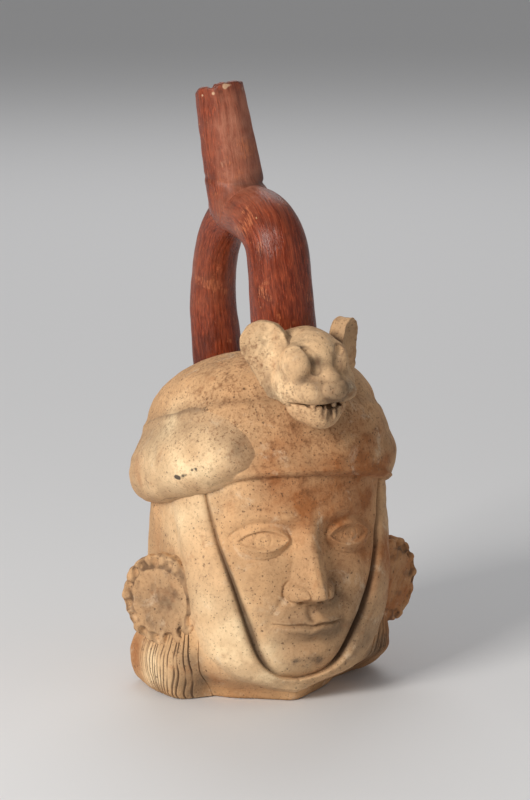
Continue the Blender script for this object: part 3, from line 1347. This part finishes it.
# Each patch: where it is in millimetres, how far it reaches and how strong it is.
WARM = [
    (*on_face(BROW_CLOUD), 16, 1.0), (*on_face(BROW_CLOUD_RIGHT), 17, 1.0), (8, -65, 98, 10, 0.6),
    (45, -50, 116, 18, 0.55), (30, -60, 122, 18, 0.7), (34, -64, 72, 24, 0.5), (46, -40, 60, 20, 0.6),
    (-6, -62, 133, 13, 0.45), (*on_headdress(LOBE_EDGE), 7, 0.6), (-52, 2, 72, 7, 0.4),
    (-59, 2, 16, 10, 0.8), (-36, -40, 12, 9, 0.5), (-20, -46, 6, 12, 0.35), (52, -22, 24, 18, 0.7),
    (62, -14, 48, 24, 0.95), (*on_headdress(CROWN_MOTTLE), 14, 0.35), (-20, -61, 120, 9, 0.4),
    (0, 60, 60, 42, 0.35), (40, 45, 116, 30, 0.4), (-30, 52, 20, 25, 0.5),
]
PALE = [
    (-48, -45, 120, 16, 0.9), (-60, -18, 120, 17, 0.6), (*on_headdress(CROWN_HAZE), 9, 0.8),
    (-46, -34, 96, 12, 0.5), (-44, -40, 60, 12, 0.1), (-36, -48, 42, 15, 0.9),
    (-24, -55, 26, 14, 0.9), (-12, -58, 12, 12, 0.5), (-53, -20, 84, 15, 0.6),
    (-4, -72, 168, 18, 0.3), (*on_animal(-21, -1, 14), 11, 0.45), (-16, -68, 158, 9, 0.7),
    (-57, -20, 14, 12, 1.0), (20, 55, 92, 26, 0.5), (-45, 35, 50, 24, 0.4),
    (2.5, -66, 19.5, 2.4, 0.9),
]
GREY = [
    (16, -70, 46, 22, 0.8), (30, -58, 34, 17, 0.7), (-5, -72, 36, 14, 0.5),
    (*on_headdress(LOBE_END), 5.5, 0.9), (*on_headdress(CROWN_STAIN), 9, 0.8),
    (20, -60, 143, 10, 0.5), (-61, -22, 47, 16, 0.8), (-45, -33, 22, 7, 1.0), (-45, -34, 13, 7, 1.0),
    (-45, -35, 5, 7, 1.0), (50, -40, 20, 14, 0.9), (*on_animal(0, -31, -4), 8.0, 1.0),
    (*on_animal(2, -30, -6), 6.0, 1.0), (*on_animal(10, -25, -5), 4.5, 0.8),
    (*on_animal(1, -24, -14), 5, 0.6), (*on_animal(-6.6, -20, 8.5), 3.6, 1.0),
    (*on_animal(6.6, -20, 8.5), 3.6, 1.0), (*on_animal(27, 2, 14), 7, 0.8), (25, 40, 148, 22, 0.5),
]
SLIP_PALE = [
    (*on_spout(2.5, 68.6), 1.7, 1.0), (*on_spout(5.2, 68.6), 1.3, 0.7),
    (*on_spout(10.6, 65), 2.6, 0.6), (*on_spout(-4, 66), 1.2, 0.7), (*on_spout(-9, 65.4), 1.0, 0.7),
    (*on_spout(-5, 32), 4.0, 0.42), (*on_spout(1, 33), 4.0, 0.45), (*on_spout(7.5, 31), 4.0, 0.42),
    (*on_stirrup(-4, -54, 30), 5, 0.36),
]
SLIP_DARK = [
    (*on_spout(-11, 24.5), 5.0, 0.85), (*on_spout(11.5, 20.5), 4.0, 0.8),
    (*on_spout(6, 21.5), 3.0, 0.45), (*on_spout(-0.4, 66.5), 1.3, 0.6),
    (*on_spout(6.5, 66.8), 1.2, 0.6), (*on_stirrup(4, -50, 18), 16, 0.6),
]
SOOT = [
    (*on_face(CHIN_SPOT_RIGHT), 4.2, 0.75), (*on_face(CHIN_SPOT_LEFT), 3.6, 0.55),
    (2, -67, 26.5, 4.2, 0.5), (9, -64, 19.5, 3, 0.4),
]
SMUDGE_LOOKS = [(1.2, 0.8), (1.4, 1.0), (1.2, 0.9), (0.9, 0.7), (0.9, 0.8), (0.9, 0.8)]
SOOT += [(*on_headdress(pixel), *look) for pixel, look in zip(SMUDGE, SMUDGE_LOOKS)]
WORN = [
    (*on_spout(7, 40), 13, 1.0), (*on_spout(7, 56), 12, 0.9), (*on_spout(5, 26), 12, 0.8),
    (*on_spout(0, 10), 14, 0.5), (*on_stirrup(0, 0, 130), 10, 0.5),
    (*on_stirrup(0, -28, 82), 12, 0.6), (*on_stirrup(0, 44, 52), 22, 0.5),
]
ROUGH = [
    (*on_headdress(CROWN_STAIN), 20, 1.0), (-33, -40, 150, 26, 0.9), (0, -64, 123, 22, 0.9),
    (35, -56, 126, 22, 0.9), (0, 10, 165, 60, 0.8), (8, -62, 104, 18, 0.6), (20, -66, 60, 20, 0.5),
    (-61, -22, 47, 16, 0.4),
]


# Fine cracks, as lines on the object: where two pieces are luted, and where two moulds met.
CRACKS = [(seen_at(side_gap, LUTING_CRACK), 0.45, 0.95), (seen_at(side_gap, MOULD_LINE), 0.4, 0.5)]


def cracks(points):
    shaken = points + 0.5 * np.stack([lumps(points, 9, seed) for seed in (61, 62, 63)], 1)
    total = np.zeros(len(points))
    for line, width, strength in CRACKS:
        total = np.maximum(total, strength * bell(track(shaken, line, 0), 0, width))
    return total


def set_paint(made, name, values):
    """Keeps one number for each point of a piece, for its material to read."""
    layer = made.data.attributes.new(name, "FLOAT", "POINT")
    layer.data.foreach_set("value", np.asarray(values, np.float32))


for piece in PIECES.values():
    points = piece["points"]
    ragged = 0.5 * lumps(points, 16, 7)
    red = piece["flow"] is not None
    for name, spots in (("warm", WARM), ("pale", SLIP_PALE if red else PALE), ("grey", GREY),
                        ("soot", SLIP_DARK if red else SOOT), ("rough", ROUGH), ("worn", WORN)):
        found = patches(points, spots)
        set_paint(piece["object"], name, np.clip(found * (1 + ragged), 0, 1))
    dirt = piece["dirt"] if piece["dirt"] is not None else np.zeros(len(points))
    set_paint(piece["object"], "dirt", dirt if red else np.maximum(dirt, cracks(points)))
    if piece["flow"] is not None:
        set_paint(piece["object"], "along", piece["flow"][:, 0] * MM)
        set_paint(piece["object"], "around", piece["flow"][:, 1] * MM)


# Materials


class Paint:
    """A material's node tree, built by short calls."""

    def __init__(self, name):
        self.material = bpy.data.materials.new(name)
        self.material.use_nodes = True
        self.tree = self.material.node_tree
        self.tree.nodes.clear()
        self.out = self.tree.nodes.new("ShaderNodeOutputMaterial")
        self.coords = self.make("ShaderNodeTexCoord").outputs["Object"]

    def make(self, kind, links=None, values=None, **settings):
        node = self.tree.nodes.new(kind)
        for key, value in settings.items():
            setattr(node, key, value)
        for key, value in (values or {}).items():
            node.inputs[key].default_value = value
        for key, socket in (links or {}).items():
            self.tree.links.new(socket, node.inputs[key])
        return node

    def attribute(self, name):
        return self.make("ShaderNodeAttribute", attribute_name=name).outputs["Fac"]

    def noise(self, scale, detail=4, rough=0.55, vector=None, distortion=0.0):
        node = self.make("ShaderNodeTexNoise", {"Vector": vector or self.coords},
                         {"Scale": scale, "Detail": detail, "Roughness": rough, "Distortion": distortion})
        return node.outputs["Fac"]

    def spots(self, scale, vector=None):
        return self.make("ShaderNodeTexVoronoi", {"Vector": vector or self.coords}, {"Scale": scale})

    def ramp(self, factor, low, high, start=0.0, end=1.0):
        node = self.make("ShaderNodeMapRange", {"Value": factor},
                         {"From Min": low, "From Max": high, "To Min": start, "To Max": end},
                         interpolation_type="SMOOTHSTEP")
        return node.outputs["Result"]

    def shaken(self, amount, scale):
        """Object coordinates moved about a little, so that outlines drawn with them turn ragged."""
        noise = self.make("ShaderNodeTexNoise", {"Vector": self.coords}, {"Scale": scale, "Detail": 2.0})
        node = self.make("ShaderNodeVectorMath", {0: noise.outputs["Color"], 2: self.coords},
                         {1: (amount,) * 3}, operation="MULTIPLY_ADD")
        return node.outputs[0]

    def math(self, operation, a, b, c=None):
        links, values = {}, {}
        for i, v in enumerate((a, b) if c is None else (a, b, c)):
            if isinstance(v, (int, float)):
                values[i] = v
            else:
                links[i] = v
        return self.make("ShaderNodeMath", links, values, operation=operation).outputs[0]

    def times(self, a, b):
        return self.math("MULTIPLY", a, b)

    def plus(self, a, b):
        return self.math("ADD", a, b)

    def mix(self, factor, a, b):
        node = self.tree.nodes.new("ShaderNodeMix")
        node.data_type = "RGBA"
        for key, v in ((0, factor), (6, a), (7, b)):
            if isinstance(v, (int, float)):
                node.inputs[key].default_value = v
            elif isinstance(v, tuple):
                node.inputs[key].default_value = (*v, 1)
            else:
                self.tree.links.new(v, node.inputs[key])
        return node.outputs[2]

    def bump(self, height, strength, distance, normal=None):
        links = {"Height": height}
        if normal is not None:
            links["Normal"] = normal
        bump = self.make("ShaderNodeBump", links, {"Strength": strength, "Distance": distance})
        return bump.outputs["Normal"]

    def finish(self, colour, rough, normal, specular):
        shader = self.make("ShaderNodeBsdfPrincipled",
                           {"Base Color": colour, "Roughness": rough, "Normal": normal},
                           {"Specular IOR Level": specular})
        self.tree.links.new(shader.outputs[0], self.out.inputs[0])
        return self.material


BROWN = (0.17, 0.066, 0.024)
DARK = (0.06, 0.03, 0.018)
WARM_CLAY = (0.34, 0.125, 0.04)
PALE_TINT = (0.86, 0.64, 0.385)
GREY_TINT = (0.215, 0.142, 0.083)
BLOOM = (0.70, 0.56, 0.40)


def specks(paint, scale, share, small, large, shake):
    """Dark specks of uneven size and outline, at most one in each cell of that scale."""
    cells = paint.spots(scale, paint.shaken(shake, scale * 2.5))
    chance = paint.make("ShaderNodeSeparateColor", {0: cells.outputs["Color"]})
    chosen = paint.math("GREATER_THAN", chance.outputs[0], 1 - share)
    size = paint.times(chance.outputs[1], large - small)
    away = paint.math("SUBTRACT", cells.outputs["Distance"], size)
    return paint.times(paint.ramp(away, small * 0.5, small * 1.6, 1.0, 0.0), chosen)


def clay(name, base, speckle=1.0):
    """Fired clay: clouded and mottled, speckled with grit, darker in its grooves."""
    paint = Paint(name)
    rough_here = paint.attribute("rough")
    patch = paint.noise(46, 5, 0.6, distortion=0.3)
    mottle = paint.noise(165, 5, 0.68)
    grain = paint.noise(620, 4, 0.68)
    duller, brighter = (tuple(share * c for c in base) for share in (0.87, 1.12))
    colour = paint.mix(paint.ramp(patch, 0.36, 0.66), duller, brighter)
    ragged = paint.times(paint.ramp(patch, 0.25, 0.75, 0.6, 1.3), paint.ramp(mottle, 0.3, 0.7, 0.75, 1.15))
    tints = (("warm", WARM_CLAY, 1.0), ("pale", PALE_TINT, 1.0), ("grey", GREY_TINT, 0.9))
    for attribute, tint, strength in tints:
        here = paint.times(paint.attribute(attribute), ragged)
        colour = paint.mix(paint.times(paint.math("MINIMUM", here, 1.0), strength), colour, tint)
    rust = paint.times(paint.ramp(paint.noise(88, 4, 0.6), 0.55, 0.74), 0.38)
    colour = paint.mix(rust, colour, WARM_CLAY)
    bloom = paint.times(paint.ramp(paint.noise(70, 5, 0.7, distortion=0.6), 0.56, 0.72), 0.42)
    colour = paint.mix(bloom, colour, BLOOM)
    stain = paint.times(paint.ramp(mottle, 0.5, 0.72), paint.math("MULTIPLY_ADD", rough_here, 0.55, 0.2))
    colour = paint.mix(stain, colour, BROWN)
    gritty = paint.times(paint.ramp(grain, 0.48, 0.7), paint.math("MULTIPLY_ADD", rough_here, 0.55, 0.24))
    colour = paint.mix(gritty, colour, BROWN)
    patchy = paint.ramp(paint.noise(60, 3, 0.6), 0.38, 0.6, 0.35, 1.0)
    fine = paint.times(specks(paint, 900, 0.42, 0.10, 0.34, 0.0008), patchy)
    middling = specks(paint, 420, 0.2, 0.06, 0.26, 0.001)
    rare = specks(paint, 190, 0.13, 0.03, 0.15, 0.0015)
    marks = paint.math("MAXIMUM", paint.times(fine, 0.66), paint.times(middling, 0.62))
    marks = paint.times(paint.math("MAXIMUM", marks, paint.times(rare, 0.6)), speckle)
    colour = paint.mix(marks, colour, DARK)
    dirt = paint.times(paint.attribute("dirt"), 0.78)
    colour = paint.mix(dirt, colour, (0.085, 0.045, 0.026))
    soot = paint.ramp(paint.plus(paint.attribute("soot"), paint.times(mottle, 0.9)), 0.72, 1.25)
    colour = paint.mix(paint.times(soot, 0.9), colour, (0.03, 0.028, 0.03))
    rough = paint.ramp(patch, 0.3, 0.7, 0.74, 0.92)
    height = paint.plus(paint.times(grain, 0.8), paint.times(marks, -0.7))
    normal = paint.bump(height, 1.0, 0.0004)
    normal = paint.bump(mottle, 0.45, 0.0009, normal)
    return paint.finish(colour, rough, normal, 0.3)


def slip(name, base, light, dark):
    """Burnished red slip: fine strokes along the tube, worn patches and small chips of pale clay."""
    paint = Paint(name)
    along, around = paint.attribute("along"), paint.attribute("around")
    drift = paint.times(paint.noise(24, 2, 0.5), 0.006)
    strokes = paint.make("ShaderNodeCombineXYZ", {0: paint.times(along, 0.13),
                                                  1: paint.plus(around, drift)}).outputs[0]
    fine = paint.noise(1500, 5, 0.62, strokes)
    broad = paint.noise(430, 5, 0.6, strokes)
    cloud = paint.noise(34, 5, 0.62, distortion=0.5)
    mottle = paint.noise(210, 5, 0.7)
    worn_here = paint.attribute("worn")
    colour = paint.mix(paint.ramp(broad, 0.36, 0.68), base, light)
    colour = paint.mix(paint.ramp(fine, 0.52, 0.64, 0.0, 0.85), colour, tuple(1.45 * c for c in light))
    colour = paint.mix(paint.ramp(fine, 0.3, 0.47, 0.9, 0.0), colour, dark)
    colour = paint.mix(paint.ramp(cloud, 0.5, 0.72, 0.0, 0.65), colour, dark)
    colour = paint.mix(paint.ramp(mottle, 0.56, 0.74, 0.0, 0.4), colour, dark)
    matt = paint.times(worn_here, paint.ramp(paint.plus(broad, mottle), 0.75, 1.2, 0.45, 1.0))
    colour = paint.mix(paint.math("MINIMUM", matt, 1.0), colour, (0.36, 0.135, 0.08))
    scuffed = paint.times(paint.ramp(paint.noise(60, 5, 0.75), 0.56, 0.63), paint.ramp(fine, 0.42, 0.6))
    colour = paint.mix(paint.times(scuffed, 0.7), colour, (0.46, 0.15, 0.065))
    chips = paint.times(paint.ramp(paint.noise(250, 6, 0.75), 0.655, 0.675),
                       paint.ramp(paint.noise(45, 2, 0.5), 0.5, 0.58))
    colour = paint.mix(chips, colour, (0.60, 0.36, 0.18))
    grained = paint.math("MULTIPLY_ADD", mottle, 0.35, paint.times(fine, 0.5))
    edge = paint.ramp(paint.plus(paint.attribute("pale"), grained), 0.84, 1.1)
    colour = paint.mix(paint.times(edge, 0.85), colour, (0.56, 0.36, 0.22))
    colour = paint.mix(paint.times(paint.attribute("soot"), 0.75), colour, (0.03, 0.009, 0.006))
    colour = paint.mix(paint.times(paint.attribute("dirt"), 0.75), colour, (0.05, 0.018, 0.012))
    rough = paint.plus(paint.ramp(broad, 0.3, 0.7, 0.22, 0.37), paint.times(chips, 0.4))
    rough = paint.plus(rough, paint.times(worn_here, 0.22))
    normal = paint.bump(fine, 0.9, 0.0003)
    normal = paint.bump(broad, 0.35, 0.0008, normal)
    normal = paint.bump(mottle, 0.3, 0.0005, normal)
    normal = paint.bump(paint.math("SUBTRACT", 1.0, chips), 0.5, 0.0003, normal)
    return paint.finish(colour, rough, normal, 0.26)


LOOKS = {
    "buff_clay": clay("buff clay", (0.56, 0.33, 0.165)),
    "pale_clay": clay("pale clay", (0.60, 0.375, 0.20), 0.8),
    "orange_clay": clay("orange clay", (0.53, 0.30, 0.14)),
    "red_slip": slip("red slip", (0.135, 0.019, 0.006), (0.235, 0.045, 0.016), (0.045, 0.007, 0.003)),
}
for piece in PIECES.values():
    made = piece["object"]
    made.data.materials.append(LOOKS[made["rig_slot"]])


# Floor, light and camera


def plain(name, colour, rough):
    """One colour all over."""
    material = bpy.data.materials.new(name)
    material.use_nodes = True
    shader = material.node_tree.nodes["Principled BSDF"]
    shader.inputs["Base Color"].default_value = (*colour, 1)
    shader.inputs["Roughness"].default_value = rough
    return material


floor_points = np.array([[-12, -12, 0], [12, -12, 0], [12, 12, 0], [-12, 12, 0]]) * 1000.0
floor = mesh_object("floor", floor_points, [np.array([[0, 1, 2, 3]])])
floor.data.materials.append(plain("pale floor", (0.70, 0.70, 0.71), 0.7))


def softbox(name, at, towards, size, power, colour=(1, 1, 1)):
    """A lamp with a broad face, in metres and watts."""
    data = bpy.data.lights.new(name, "AREA")
    data.shape = "RECTANGLE"
    data.size, data.size_y = size
    data.energy = power
    data.color = colour
    lamp = bpy.data.objects.new(name, data)
    bpy.context.scene.collection.objects.link(lamp)
    lamp.location = at
    way = np.array(towards, float) - np.array(at, float)
    lamp.rotation_mode = "QUATERNION"
    lamp.rotation_quaternion = Vector(way).to_track_quat("-Z", "Y")


softbox("key", (-1.3, -0.8, 0.8), (0, 0, 0.12), (0.6, 0.6), 27, (1.0, 0.97, 0.92))
softbox("fill", (1.3, -1.2, 0.6), (0, 0, 0.13), (1.2, 1.2), 2.0, (0.97, 0.98, 1.0))
softbox("back", (0.6, 1.8, 1.8), (0, 0.3, 0), (1.6, 1.6), 16)

world = bpy.data.worlds.new("studio")
world.use_nodes = True
world.node_tree.nodes["Background"].inputs[0].default_value = (0.88, 0.88, 0.88, 1)
world.node_tree.nodes["Background"].inputs[1].default_value = 0.35
bpy.context.scene.world = world
bpy.context.scene.view_settings.view_transform = "Standard"

camera_data = bpy.data.cameras.new("camera")
camera_data.sensor_width = CAMERA_SENSOR
camera_data.lens = CAMERA_LENS
camera_data.clip_end = 100
camera = bpy.data.objects.new("camera", camera_data)
bpy.context.scene.collection.objects.link(camera)
camera.location = CAMERA_AT * MM
look = Vector(CAMERA_AIM * MM) - camera.location
camera.rotation_mode = "QUATERNION"
camera.rotation_quaternion = look.to_track_quat("-Z", "Y")
bpy.context.scene.camera = camera
